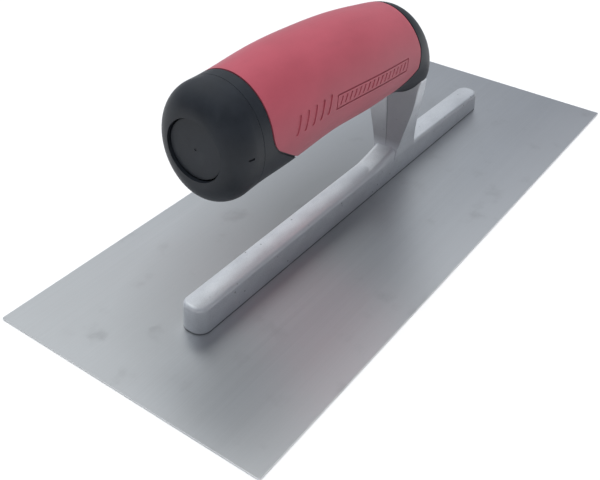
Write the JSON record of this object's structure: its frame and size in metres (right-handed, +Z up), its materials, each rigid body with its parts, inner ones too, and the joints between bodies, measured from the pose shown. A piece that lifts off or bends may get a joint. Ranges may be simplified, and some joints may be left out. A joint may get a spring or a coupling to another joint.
{
  "type": "finishing trowel",
  "caption": "Flat rectangular steel blade with a cast aluminium rib and post, and a rounded two-colour handle above it.",
  "frame": {"origin": "middle of the blade's underside", "axes": "+X along the blade towards the front of the handle, +Y across the blade, +Z up through the handle"},
  "size_m": [0.2794, 0.1142, 0.0916],
  "materials": {
    "blade_steel": "satin, brushed along the blade",
    "rivet_steel": "ground flush with the blade",
    "cast_aluminium": "satin as-cast, tumbled",
    "black_plastic": "fine satin moulding, charcoal",
    "red_grip": "soft matte rubber, rose red",
    "screw_steel": "zinc plated"
  },
  "bodies": {
    "root": {"blade": "blade_steel", "blade_rivets": "rivet_steel", "mounting": "cast_aluminium", "handle_core": "black_plastic", "grip_sleeve": "red_grip", "butt_cap": "black_plastic", "end_plug": "black_plastic", "handle_screw": "screw_steel", "screw_washer": "screw_steel"}
  },
  "joints": []
}
